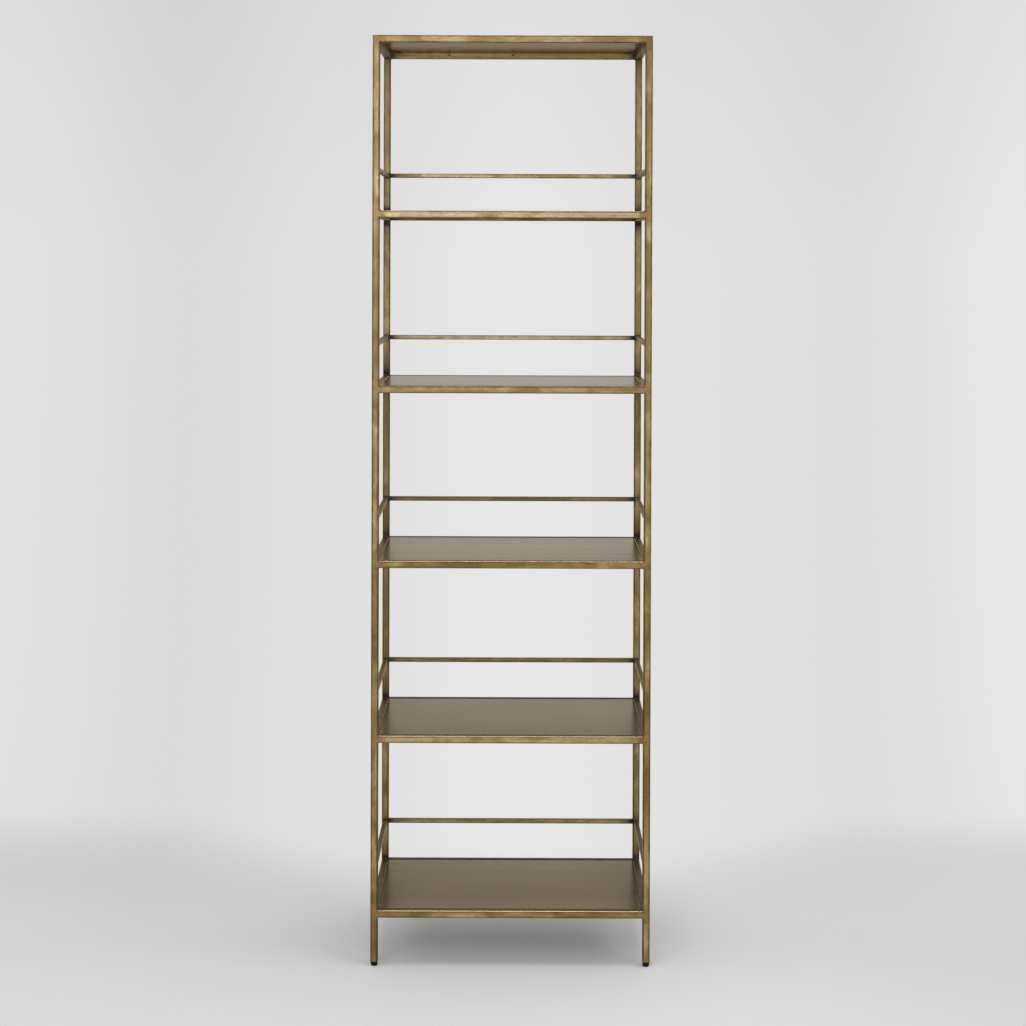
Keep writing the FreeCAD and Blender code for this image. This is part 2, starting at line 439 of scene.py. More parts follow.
def marks_of_post(node, centre, half, tiers, bars):
    """Marks along a post. Its edges vanish where rails are flush, and rear posts are dark at joints, with
    painted shade beside the tiers and on their edges.
    """
    joints = [place for tier in tiers for place in tier]
    rear = centre.y > 0
    top_corner = CORNER_TONE.get(("top", "rear" if rear else "front"), 0.0)
    outward_x = 1.0 if centre.x > 0 else -1.0
    middle = (tiers[-2][1] + tiers[-1][0]) / 2

    def marks(point, place, worn_and_shaded_edge):
        away = Vector(point) - centre
        at_tier = any(low - 0.5 * MM < place < high + 0.5 * MM for low, high in tiers)
        outermost = away.x * centre.x > 0 and away.y * centre.y > 0
        dark = 0.0
        if rear:
            dark = min(rear_post_dark(place, joints, bars, place > middle) + 0.1 * worn_and_shaded_edge, 1.0)
            worn_and_shaded_edge *= 0.7
        bar_heat = (0.85 if rear else 0.4) * fading(place, bars, heat_reach / 2)
        heated = max(fading(place, joints, heat_reach), bar_heat)
        tone = tone_at(node, place, heated, top_corner if place > middle else 0.0)
        tone += PAINTED_SIDE_LIGHT.get(node, 0.0) * away.x / half * outward_x * growing(place, side_light_from, side_light_to)
        edge_wear_and_shade = 0.0 if at_tier and not outermost else worn_and_shaded_edge
        return edge_wear_and_shade, heated, post_rub_and_highlight, dark, tone

    return marks


# Materials

class Nodes:
    """The node tree of a material or of the world, with short calls for the nodes used here."""

    def __init__(self, owner):
        owner.use_nodes = True
        self.owner, self.tree = owner, owner.node_tree
        self.shader = self.tree.nodes.get("Principled BSDF")

    def add(self, kind, **settings):
        made = self.tree.nodes.new(kind)
        for key, value in settings.items():
            setattr(made, key, value)
        return made

    def feed(self, socket, value):
        """Sets a number or a colour on a socket, or links another socket to it."""
        if isinstance(value, tuple):
            socket.default_value = (*value, 1.0)
        elif isinstance(value, (int, float)):
            socket.default_value = value
        else:
            self.tree.links.new(value, socket)

    def feed_all(self, made, **values):
        """Feeds a node's sockets by their names."""
        for key, value in values.items():
            self.feed(made.inputs[key.replace("_", " ")], value)
        return made

    def shade(self, **values):
        self.feed_all(self.shader, **values)

    def coordinates(self, kind):
        return self.add("ShaderNodeTexCoord").outputs[kind]

    def coordinate(self, kind, axis):
        """One axis of a kind of coordinates. The normal's Z is 1 on tops, 0 on sides and -1 below."""
        split = self.add("ShaderNodeSeparateXYZ")
        self.feed(split.inputs["Vector"], self.coordinates(kind))
        return split.outputs[axis]

    def attribute(self, name):
        return self.add("ShaderNodeAttribute", attribute_name=name).outputs["Fac"]

    def noise(self, scale, detail=4.0, roughness=0.55, distortion=0.0):
        """Noise in object coordinates, with one scale or one for each axis."""
        mapping = self.add("ShaderNodeMapping")
        mapping.inputs["Scale"].default_value = scale if isinstance(scale, tuple) else (scale, scale, scale)
        self.feed(mapping.inputs["Vector"], self.coordinates("Object"))
        made = self.add("ShaderNodeTexNoise")
        self.feed_all(made, Scale=1.0, Detail=detail, Roughness=roughness, Distortion=distortion)
        self.feed(made.inputs["Vector"], mapping.outputs["Vector"])
        return made.outputs["Fac"]

    def ramp(self, source, stops, interpolation="LINEAR"):
        made = self.add("ShaderNodeValToRGB")
        made.color_ramp.interpolation = interpolation
        elements = made.color_ramp.elements
        while len(elements) < len(stops):
            elements.new(0.5)
        for element, (place, colour) in zip(elements, stops):
            element.position = place
            element.color = (*colour, 1.0) if isinstance(colour, tuple) else (colour, colour, colour, 1.0)
        self.feed(made.inputs["Fac"], source)
        return made.outputs["Color"]

    def span(self, source, low, high, out_low=0.0, out_high=1.0, smooth=False):
        """Maps a value's range to another and clamps it."""
        made = self.add("ShaderNodeMapRange", interpolation_type="SMOOTHSTEP" if smooth else "LINEAR")
        self.feed_all(made, From_Min=low, From_Max=high, To_Min=out_low, To_Max=out_high, Value=source)
        return made.outputs["Result"]

    def math(self, operation, first, second):
        made = self.add("ShaderNodeMath", operation=operation)
        self.feed(made.inputs[0], first)
        self.feed(made.inputs[1], second)
        return made.outputs["Value"]

    def times(self, first, second):
        return self.math("MULTIPLY", first, second)

    def plus(self, first, second):
        return self.math("ADD", first, second)

    def between(self, amount, first, second):
        """A value between two others."""
        return self.plus(self.times(first, self.math("SUBTRACT", 1.0, amount)), self.times(amount, second))

    def mix(self, amount, first, second, blend="MIX"):
        """A colour between two others, or their product."""
        made = self.add("ShaderNodeMix", data_type="RGBA", blend_type=blend)
        inputs = {socket.identifier: socket for socket in made.inputs}
        for name, value in (("Factor_Float", amount), ("A_Color", first), ("B_Color", second)):
            self.feed(inputs[name], value)
        return next(socket for socket in made.outputs if socket.identifier == "Result_Color")

    def bump(self, *heights):
        """Chains bumps, each a height, a distance in metres and a strength."""
        normal = None
        for height, distance, strength in heights:
            made = self.add("ShaderNodeBump")
            self.feed_all(made, Height=height, Distance=distance, Strength=strength)
            if normal is not None:
                self.feed(made.inputs["Normal"], normal)
            normal = made.outputs["Normal"]
        self.shade(Normal=normal)


def new_material(name):
    return Nodes(bpy.data.materials.new(name))


def painted_sheen_tint(nodes, paler):
    """Painted sheen: the brass is tinted yellower low down and paler high up and on the left side, where more
    light falls on it.
    """
    height, across = (nodes.coordinate("Object", axis) for axis in "ZX")
    lit_high_left = nodes.span(nodes.math("SUBTRACT", height, nodes.times(across, 1.2)), 0.5, 1.9)
    paleness = nodes.span(nodes.plus(lit_high_left, paler), 0.0, 1.0)
    return nodes.mix(paleness, (1.01, 0.99, 0.86), (0.99, 1.01, 1.17))


def brushed_brass(name, axis, paler=0.0):
    """Antique brass, brushed along the member and clouded with patina, its edges painted dark as shade and
    bright from rubbing and a painted highlight.
    """
    nodes = new_material(name)
    span, mix, times = nodes.span, nodes.mix, nodes.times
    worn_and_shaded_edge, heated, rub_and_highlight, dark, lighter = (nodes.attribute(mark) for mark in MARKS)
    facing = nodes.coordinate("Normal", "Z")
    blots = nodes.noise(48.0, detail=3.0, roughness=0.6, distortion=0.3)
    specks = nodes.noise(420.0, detail=5.0, roughness=0.7)
    joined = span(heated, JOINED_FROM, JOINED_TO)

    def along(length, width, *settings, at_joint):
        """Noise drawn out along the member. Near a joint the members share one pattern."""
        scale = tuple(length if index == axis else width for index in range(3))
        return nodes.between(joined, nodes.noise(scale, *settings), at_joint)

    clouds = along(11.0, 26.0, 3.0, 0.6, 0.5, at_joint=blots)
    patches = along(34.0, 80.0, 4.0, 0.6, 0.4, at_joint=blots)
    strokes = along(10.0, 900.0, 3.0, 0.65, at_joint=specks)
    bands = along(4.0, 240.0, 2.0, 0.5, at_joint=0.48)

    tones = [(0.34, (0.14, 0.088, 0.026)), (0.45, (0.262, 0.176, 0.057))]
    tones += [(0.54, (0.385, 0.276, 0.104)), (0.66, (0.6, 0.474, 0.262))]
    colour = nodes.ramp(nodes.plus(clouds, lighter), tones)
    colour = mix(span(patches, 0.46, 0.66, 0.0, 0.6), colour, (0.29, 0.165, 0.064))
    colour = mix(span(patches, 0.48, 0.32, 0.0, 0.55), colour, (0.205, 0.165, 0.054))
    colour = mix(span(bands, 0.38, 0.64, 0.0, 0.42), colour, (0.14, 0.094, 0.03))
    colour = mix(span(strokes, 0.38, 0.64, 0.0, 0.26), colour, (0.52, 0.39, 0.175))
    colour = mix(1.0, colour, painted_sheen_tint(nodes, paler), blend="MULTIPLY")

    # Upper faces are darker and greyer, and lower ones painted dark as shade
    darker_top_colour = nodes.ramp(strokes, [(0.35, (0.085, 0.074, 0.05)), (0.65, (0.145, 0.126, 0.086))])
    colour = mix(span(facing, 0.55, 0.97, 0.0, 0.8), colour, darker_top_colour)
    colour = mix(span(facing, -0.55, -0.97, 0.0, 0.8), colour, (0.088, 0.07, 0.042))

    # Edges are painted dark as shade, and bright on their ridge from rubbing and, on upper edges, a painted
    # highlight
    edge = times(span(worn_and_shaded_edge, 0.03, 0.5), span(patches, 0.36, 0.6, 0.65, 1.0))
    colour = mix(times(edge, span(facing, 0.75, 0.15, 0.25, 0.92)), colour, (0.052, 0.039, 0.017))
    ridge = times(span(worn_and_shaded_edge, 0.72, 1.0), times(rub_and_highlight, span(patches, 0.34, 0.58, 0.55, 1.0)))
    ridge_rub_and_highlight = times(ridge, span(facing, 0.1, 0.55, 0.12, 1.0))
    colour = mix(ridge_rub_and_highlight, colour, (0.72, 0.57, 0.33))

    # Heat stains near welds, specks everywhere, and a crust of dark patina, which also carries the painted
    # shade of the dark mark
    heat_tones = [(0.38, (0.13, 0.088, 0.046)), (0.5, (0.285, 0.14, 0.066)), (0.6, (0.165, 0.122, 0.1))]
    heat_colours = nodes.ramp(nodes.noise(30.0, detail=2.0), heat_tones)
    colour = mix(times(span(heated, 0.25, 0.9), span(blots, 0.44, 0.64, 0.0, 0.75)), colour, heat_colours)
    colour = mix(span(specks, 0.62, 0.78, 0.0, 0.45), colour, (0.07, 0.05, 0.024))
    patina = times(dark, span(patches, 0.34, 0.6, 0.75, 1.0))
    crust_tones = [(0.35, (0.026, 0.022, 0.015)), (0.58, (0.048, 0.042, 0.03)), (0.74, (0.062, 0.066, 0.066))]
    crust = mix(span(patina, 0.55, 0.95), nodes.ramp(specks, crust_tones), (0.011, 0.01, 0.006))
    colour = mix(patina, colour, crust)

    gloss = nodes.plus(span(strokes, 0.3, 0.7, 0.34, 0.46), span(patches, 0.35, 0.7, -0.04, 0.1))
    gloss = nodes.math("SUBTRACT", nodes.plus(gloss, times(patina, 0.18)), times(ridge_rub_and_highlight, 0.08))
    nodes.shade(Base_Color=colour, Roughness=gloss, Metallic=span(patina, 0.3, 1.0, 1.0, 0.15))
    nodes.shade(Specular_IOR_Level=0.2, Specular_Tint=(0.92, 0.82, 0.66))
    nodes.shade(Coat_Weight=0.05, Coat_Roughness=0.28)
    nodes.bump((clouds, 0.0006, 0.25), (strokes, 0.00006, 0.5), (specks, 0.00005, 0.35))
    return nodes.owner


def bronze_sheet(name):
    """Dark bronze steel sheet, finely brushed from side to side, with painted shade at its ends, round its
    rim and underneath.
    """
    nodes = new_material(name)
    span, mix, times = nodes.span, nodes.mix, nodes.times
    clouds = nodes.noise((1.6, 2.6, 2.6), detail=2.0, roughness=0.5)
    depth = span(nodes.noise((5.0, 9.0, 9.0), detail=3.0, roughness=0.5), 0.35, 0.65, 0.45, 1.0)
    smears = nodes.noise((0.3, 46.0, 46.0), detail=3.0, roughness=0.5)
    strokes = nodes.noise((0.15, 620.0, 620.0), detail=4.0, roughness=0.7)
    scratches = nodes.noise((1.2, 2200.0, 2200.0), detail=2.0, roughness=0.5)
    specks = nodes.noise(300.0, detail=5.0, roughness=0.7)
    tones = [(0.34, (0.124, 0.102, 0.075)), (0.5, (0.152, 0.126, 0.092)), (0.66, (0.184, 0.154, 0.114))]
    colour = nodes.ramp(clouds, tones)
    colour = mix(times(depth, span(smears, 0.42, 0.7, 0.0, 0.2)), colour, (0.1, 0.083, 0.061))
    colour = mix(times(depth, span(strokes, 0.4, 0.66, 0.0, 0.24)), colour, (0.22, 0.184, 0.135))
    colour = mix(span(scratches, 0.64, 0.76, 0.0, 0.16), colour, (0.3, 0.245, 0.16))
    colour = mix(span(specks, 0.66, 0.82, 0.0, 0.25), colour, (0.07, 0.054, 0.038))
    # Painted shade at the panel's ends, towards the side rails and posts
    from_middle = nodes.math("ABSOLUTE", nodes.coordinate("Object", "X"), 0.0)
    colour = mix(span(from_middle, 0.2, 0.285, 0.0, 0.45), colour, (0.082, 0.062, 0.041))
    # Painted shade underneath, in colour and in the tint of its reflection, and round the rim beside the gap
    facing = nodes.coordinate("Normal", "Z")
    colour = mix(span(facing, -0.5, -0.95, 0.0, 0.7), colour, (0.074, 0.055, 0.034))
    colour = mix(times(nodes.attribute("edge_wear_and_shade"), 0.75), colour, (0.03, 0.025, 0.018))
    sheen = mix(span(facing, -0.5, -0.95), (1.0, 0.91, 0.78), (0.7, 0.58, 0.42))
    gloss = nodes.plus(span(strokes, 0.3, 0.7, 0.22, 0.28), span(smears, 0.35, 0.7, -0.02, 0.03))
    nodes.shade(Base_Color=colour, Specular_Tint=sheen, Roughness=gloss, Metallic=1.0)
    nodes.bump((clouds, 0.001, 0.1), (strokes, 0.00003, 0.2), (specks, 0.00004, 0.15))
    return nodes.owner


def tab_brass(name):
    """The same brass finish on the corner tabs, darker and less brushed."""
    nodes = new_material(name)
    clouds = nodes.noise(40.0, detail=4.0, roughness=0.6, distortion=0.4)
    strokes = nodes.noise((30.0, 420.0, 420.0), detail=3.0, roughness=0.65)
    specks = nodes.noise(400.0, detail=5.0, roughness=0.7)
    tones = [(0.32, (0.06, 0.046, 0.028)), (0.52, (0.095, 0.075, 0.048)), (0.72, (0.13, 0.105, 0.066))]
    colour = nodes.ramp(clouds, tones)
    colour = nodes.mix(nodes.span(strokes, 0.4, 0.66, 0.0, 0.3), colour, (0.18, 0.145, 0.09))
    colour = nodes.mix(nodes.span(specks, 0.6, 0.76, 0.0, 0.5), colour, (0.045, 0.037, 0.028))
    nodes.shade(Base_Color=colour, Roughness=nodes.span(clouds, 0.3, 0.7, 0.36, 0.52), Metallic=1.0)
    nodes.shade(Coat_Weight=0.2, Coat_Roughness=0.3)
    nodes.bump((strokes, 0.00008, 0.4), (specks, 0.00006, 0.4))
    return nodes.owner


def moulded_black(name, light, dark, roughness, sheen):
    """Moulded black nylon, with a fine cast grain and a little dust."""
    nodes = new_material(name)
    grain = nodes.noise(1400.0, detail=3.0, roughness=0.6)
    dust = nodes.noise((130.0, 130.0, 90.0), detail=5.0, roughness=0.65)
    nodes.shade(Base_Color=nodes.ramp(dust, [(0.35, dark), (0.7, light)]), Specular_IOR_Level=sheen)
    nodes.shade(Roughness=nodes.span(dust, 0.3, 0.7, roughness, roughness + 0.16))
    nodes.bump((grain, 0.00005, 0.5), (dust, 0.00008, 0.2))
    return nodes.owner


def gap_shade_black(name):
    """Near-black painted shade for the gap round each panel, uneven along its length."""
    nodes = new_material(name)
    clouds = nodes.noise(60.0, detail=4.0, roughness=0.6)
    colour = nodes.ramp(clouds, [(0.35, (0.012, 0.01, 0.008)), (0.65, (0.035, 0.029, 0.02))])
    nodes.shade(Base_Color=colour, Roughness=nodes.span(clouds, 0.3, 0.7, 0.65, 0.85), Specular_IOR_Level=0.1)
    nodes.bump((clouds, 0.0002, 0.4))
    return nodes.owner


def zinc_plate(name):
    """Bright zinc plating with faint turning marks and dull spots."""
    nodes = new_material(name)
    turning = nodes.noise((60.0, 60.0, 2600.0), detail=2.0, roughness=0.5)
    bloom = nodes.noise(240.0, detail=4.0, roughness=0.6)
    tones = [(0.35, (0.44, 0.45, 0.47)), (0.55, (0.6, 0.61, 0.62)), (0.75, (0.68, 0.67, 0.62))]
    gloss = nodes.span(bloom, 0.3, 0.7, 0.24, 0.42)
    nodes.shade(Base_Color=nodes.ramp(bloom, tones), Roughness=gloss, Metallic=1.0)
    nodes.bump((turning, 0.00004, 0.4), (bloom, 0.00003, 0.3))
    return nodes.owner


def backdrop_tone(nodes, place):
    """The backdrop's tone at a place across the view, as the photograph's soft light and shade."""
    width = backdrop_to - backdrop_from
    stops = [((across - backdrop_from) / width, tone) for across, tone in BACKDROP]
    return nodes.ramp(nodes.span(place, backdrop_from, backdrop_to), stops, "EASE")


def seen_rays(nodes):
    """1 for rays from the camera and for reflected and refracted rays, else 0."""
    path = nodes.add("ShaderNodeLightPath")
    direct = nodes.math("MAXIMUM", path.outputs["Is Camera Ray"], path.outputs["Is Glossy Ray"])
    return nodes.math("MAXIMUM", direct, path.outputs["Is Transmission Ray"])


def studio_floor(name):
    """Pale matt floor that rises into the backdrop's tone behind the object and far from it, with painted
    shade and painted light round the object.
    """
    nodes = new_material(name)
    span, mix = nodes.span, nodes.mix
    x, y = (nodes.coordinate("Object", axis) for axis in "XY")
    length = nodes.add("ShaderNodeVectorMath", operation="LENGTH")
    nodes.feed(length.inputs[0], nodes.coordinates("Object"))
    distance = length.outputs["Value"]
    sideways = span(nodes.math("ABSOLUTE", x, 0.0), 0.35, 0.9, 0.0, 0.34)

    paint = nodes.ramp(nodes.noise(2.0, detail=2.0), [(0.3, 0.648), (0.7, 0.662)])
    # Painted shade: the floor is darker towards the right, and at the sides beside the object
    paint = mix(span(x, 0.45, 1.15), paint, (0.578, 0.578, 0.578))
    beside = nodes.times(span(y, -0.2, 0.35), span(sideways, 0.05, 0.34))
    paint = mix(beside, paint, (0.585, 0.585, 0.585))
    nodes.shade(Base_Color=paint, Roughness=0.9, Specular_IOR_Level=0.1)

    behind = span(nodes.math("SUBTRACT", y, sideways), 0.14, 0.72, smooth=True)
    far = span(distance, 1.8, 3.4, smooth=True)
    # Painted light: near the object the floor glows a little, more behind it, which lightens the object's
    # shadow
    near_glow = span(y, -0.08, 0.14, 0.105, 0.26, smooth=True)
    risen = nodes.between(nodes.math("MAXIMUM", behind, far), near_glow, 1.0)
    across = nodes.math("DIVIDE", x, nodes.plus(distance, backdrop_reach))
    glow = nodes.feed_all(nodes.add("ShaderNodeEmission"), Color=backdrop_tone(nodes, across))
    blend = nodes.add("ShaderNodeMixShader")
    layers = (nodes.times(risen, seen_rays(nodes)), nodes.shader.outputs[0], glow.outputs[0])
    for socket, value in zip(blend.inputs, layers):
        nodes.feed(socket, value)
    nodes.feed(nodes.tree.nodes["Material Output"].inputs["Surface"], blend.outputs[0])
    return nodes.owner


# Frame members

def bore(shape, axis, ends, centre, half, rings):
    """A tube's inner wall and the rim at its first end. Returns the inner ring at its other end."""
    outline, _ = rounded_square(half - tube_wall, bore_radius, tube_margin)
    first, last = (shape.ring(laid(axis, place, outline, centre), stain=1.0) for place in ends)
    shape.band(last, first)
    shape.band(first, rings[0])
    return last


def make_posts(material):
    """Four posts of hollow tube, their tops closed and their rims rounded."""
    tiers = [tuple(corner.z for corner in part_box(tier + "_rail_front")) for tier in TIERS]
    bars = [sum(corner.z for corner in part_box(tier + "_gallery_rear")) / 2 for tier in SHELVES]
    joints = [place for tier in tiers for place in tier] + bars
    top_wall = 3.0 * MM
    for end, side in CORNERS:
        node = f"post_{end}_{side}"
        centre, half, low, high = member(node, across=0)
        marks = marks_of_post(node, centre, half, tiers, bars)
        ends = (low.z, high.z - tube_radius)
        shape, rings = stick(2, *ends, centre, half, tube_radius, tube_margin, joints, marks)
        cap_dark = 0.9 if end == "rear" else 0.0
        cap = {"stain": 0.9, "dark": cap_dark, "tone": CORNER_TONE.get(("top", end), 0.0)}
        for inset, below_top in quarter_arc(tube_radius, arc_steps)[1:]:
            outline, _ = rounded_square(half - inset, max(tube_radius - inset, tip_radius), tube_margin)
            rings.append(shape.ring(laid(2, high.z - below_top, outline, centre), edge_wear_and_shade=1.0, **cap))
        shape.skin(rings[-arc_steps - 1:])
        outline, _ = rounded_square(half - tube_radius - tube_margin, tip_radius, 0.5 * MM)
        field = shape.ring(laid(2, high.z, outline, centre), **cap)
        shape.band(rings[-1], field)
        shape.lid(field)
        shape.lid(bore(shape, 2, (low.z, high.z - top_wall), centre, half, rings), flipped=True)
        stands_for = [node, "post_caps"] if (end, side) == CORNERS[0] else [node]
        shape.piece(node + "_tube", material, "brass_tube", stands_for=stands_for)


def make_rail(node, axis, material, with_holes=False):
    """A rail of hollow tube whose ends run into the posts' round corners."""
    centre, half, low, high = member(node)
    joints = (low[axis], high[axis])
    ends = (low[axis] - rail_overlap, high[axis] + rail_overlap)
    marks = marks_of_rail(node, axis, centre, joints)
    shape, rings = stick(axis, *ends, centre, half, tube_radius, tube_margin, joints, marks)
    shape.band(rings[-1], bore(shape, axis, ends, centre, half, rings))
    made = shape.piece(node + "_tube", material, "brass_tube", stands_for=[node])
    if with_holes:
        drill_anchor_holes(made, centre, high, marks)


def drill_anchor_holes(rail, centre, high, marks):
    """Cuts the two wall holes through the rear top rail, and gives their rims the rail's marks."""
    hole_z = high.z - hole_below_top
    mesh = bpy.data.meshes.new("anchor_hole_cutters")
    work = bmesh.new()
    for x in ANCHOR_HOLES:
        place = Matrix.Translation((x, centre.y, hole_z)) @ Matrix.Rotation(math.radians(90), 4, "X")
        size = {"radius1": hole_radius, "radius2": hole_radius, "depth": 28.0 * MM}
        bmesh.ops.create_cone(work, cap_ends=True, segments=40, matrix=place, **size)
    work.to_mesh(mesh)
    work.free()
    cutters = put_in_scene("anchor_hole_cutters", mesh)
    cut = rail.modifiers.new("anchor_holes", "BOOLEAN")
    cut.operation, cut.solver, cut.object = "DIFFERENCE", "EXACT", cutters
    rail.modifiers.move(len(rail.modifiers) - 1, 0)
    bpy.context.view_layer.objects.active = rail
    bpy.ops.object.modifier_apply(modifier=cut.name)
    rail.data.set_sharp_from_angle(angle=math.radians(40.0))
    bpy.data.objects.remove(cutters)
    bpy.data.meshes.remove(mesh)

    flat = (high.z - centre.z) - tube_radius - tube_margin
    for vertex in rail.data.vertices:
        spot = rail.matrix_world @ vertex.co
        if min(math.hypot(spot.x - x, spot.z - hole_z) for x in ANCHOR_HOLES) > hole_radius + 0.2 * MM:
            continue
        *found, tone = marks(Vector((spot.x, spot.y, centre.z + flat)), spot.x, 0.0)
        if spot.y < centre.y:
            tone -= painted_light_under_top * (1.0 - (spot.z - centre.z + flat) / (2 * flat))
        for mark, value in zip(MARKS, (*found, tone)):
            rail.data.attributes[mark].data[vertex.index].value = value


def make_hole_plugs(name, material, slot, face, inward):
    """Snap-in plugs that close the wall holes on one face of the rear top rail until they are used."""
    hole_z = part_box("top_rail_rear")[1].z - hole_below_top
    radius, rim, back = 2.45 * MM, 3.4 * MM, tube_wall + 1.2 * MM
    outline = [(tip_radius, 0.0), (radius - 0.4 * MM, 0.0), (radius - 0.1 * MM, 0.1 * MM)]
    outline += [(radius, 0.4 * MM), (radius, tube_wall + 0.1 * MM), (rim, tube_wall + 0.2 * MM)]
    outline += [(rim, tube_wall + 0.9 * MM), (rim - 0.4 * MM, back), (tip_radius, back)]
    shape = Shape()
    for x in ANCHOR_HOLES:
        rings = []
        for reach, depth in outline:
            circle = turned(Vector((x, hole_z)), [reach] * 32, face + inward * depth)
            rings.append(shape.ring([(across, place, up) for across, up, place in circle]))
        shape.closed_skin(rings)
    shape.piece(name, material, slot, tidy_normals=True, crease=50.0)


def make_bar(node, axis, material):
    """A solid gallery bar with rounded edges."""
    centre, half, low, high = member(node)
    ends = (low[axis], high[axis])
    marks = marks_of_bar(node, axis, centre, ends)
    shape, rings = stick(axis, *ends, centre, half, bar_radius, bar_margin, ends, marks)
    shape.lid(rings[0], flipped=True)
    shape.lid(rings[-1])
    shape.piece(node + "_bar", material, "brass_bar", stands_for=[node])


def make_panel(node, material):
    """A sheet panel with slightly rounded edges and corners."""
    low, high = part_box(node)
    edge, corner, flat_from = 0.4 * MM, 1.2 * MM, 1.1 * MM
    shape = Shape()

    def ring(inset, height, edge_wear_and_shade=1.0):
        """The panel's outline with round corners, this far in from its edge."""
        points = []
        for across, up, start in ((1, 1, 0), (-1, 1, 90), (-1, -1, 180), (1, -1, 270)):
            x = (high.x if across > 0 else low.x) - across * corner
            y = (high.y if up > 0 else low.y) - up * corner
            for reach_x, reach_y in rounded_corner(x, y, corner - inset, start, start + 90, 4):
                points.append((reach_x, reach_y, height))
        return shape.ring(points, edge_wear_and_shade=edge_wear_and_shade)

    arc = quarter_arc(edge, 3)
    rings = [ring(far, low.z + near) for near, far in arc]
    rings += [ring(near, high.z - far) for near, far in arc]
    shape.skin(rings)
    below, above = ring(flat_from, low.z, 0.0), ring(flat_from, high.z, 0.0)
    shape.band(below, rings[0])
    shape.lid(below, flipped=True)
    shape.band(rings[-1], above)
    shape.lid(above)
    shape.piece(node + "_sheet", material, "bronze_sheet", stands_for=[node])


def make_gap_shade_strips(material):
    """A near-black strip of painted shade that fills the gap round each panel, with a small bead under it."""
    bead, rim, overlap = 0.35 * MM, 0.2 * MM, 0.05 * MM
    for tier in TIERS:
        panel_low, panel_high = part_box(tier + "_panel")
        outer_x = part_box(tier + "_rail_right")[0].x + overlap
        outer_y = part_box(tier + "_rail_rear")[0].y + overlap
        gap = outer_x - (panel_high.x - 0.1 * MM)
        low, high = panel_low.z + rim, panel_high.z - 0.55 * MM
        section = [(0.0, panel_low.z - bead), (0.45 * (gap + bead), panel_low.z - 0.35 * bead)]
        section += [(gap + bead, panel_low.z - 0.02 * MM), (gap + bead, low), (gap, low), (gap, high)]
        section += [(gap / 2, high - 0.25 * MM), (0.0, high)]
        shape = Shape()
        rings = []
        for inset, height in section:
            x, y = outer_x - inset, outer_y - inset
            rings.append(shape.ring([(x, y, height), (-x, y, height), (-x, -y, height), (x, -y, height)]))
        shape.skin(rings)
        shape.band(rings[-1], rings[0])
        shape.piece(tier + "_panel_seam", material, "bronze_sheet", tidy_normals=True)


# Welds

def fillet(shape, corner, along, up, across, legs, width, rounding, seed, dark):
    """A concave weld bead in an inner corner, with its ends rounded like the tube's edges."""
    steps, inner_rings = 8, 9
    start = [(-width / 2 + near, far) for near, far in quarter_arc(rounding, 4)]
    flat = width - 2 * rounding
    inner = [(-width / 2 + rounding + flat * step / inner_rings, 0.0) for step in range(1, inner_rings)]
    rings = []
    for place, sink in start + inner + [(-place, sink) for place, sink in reversed(start)]:
        swell = 1 + 0.16 * noise.noise(Vector((seed * 7.3, place / (2.2 * MM), 0.0)))
        ripple = 0.1 * MM * math.sin(place / (0.42 * MM)) if sink == 0 else 0.0
        points = []
        for step in range(steps + 1):
            angle = math.radians(90) * step / steps
            bulge = sink + ripple * math.sin(2 * angle)
            reach = legs[0] * swell * (1 - math.sin(angle)) - bulge * math.sin(angle)
            rise = legs[1] * swell * (1 - math.cos(angle)) - bulge * math.cos(angle)
            points.append(corner + along * reach + up * rise + across * place)
        points.append(corner - along * rounding - up * rounding + across * place)
        rings.append(shape.ring(points, edge_wear_and_shade=0.5 if sink else 0.0, stain=1.0, dark=dark))
    shape.closed_skin(rings)


def bar_weld(shape, corner, along, axis, half, leg, seed, dark):
    """A concave bead all round the end of a bar, which starts inside the post."""
    inside_post = 0.8 * MM
    profile = [(-inside_post, leg)] + quarter_arc(leg, 6)
    rings = []
    for number, (reach, spread) in enumerate(profile):
        outline, _ = rounded_square(half + spread, bar_radius + spread)
        if 0 < number < len(profile) - 1:
            grain = [Vector((point[0] / (2.5 * MM), point[1] / (2.5 * MM), seed * 3.1)) for point in outline]
            outline = [point * (1 + 0.05 * noise.noise(spot)) for point, spot in zip(outline, grain)]
        points = laid(axis, corner[axis] + along * reach, outline, corner)
        rings.append(shape.ring(points, edge_wear_and_shade=0.2, stain=1.0, dark=dark))
    shape.closed_skin(rings)


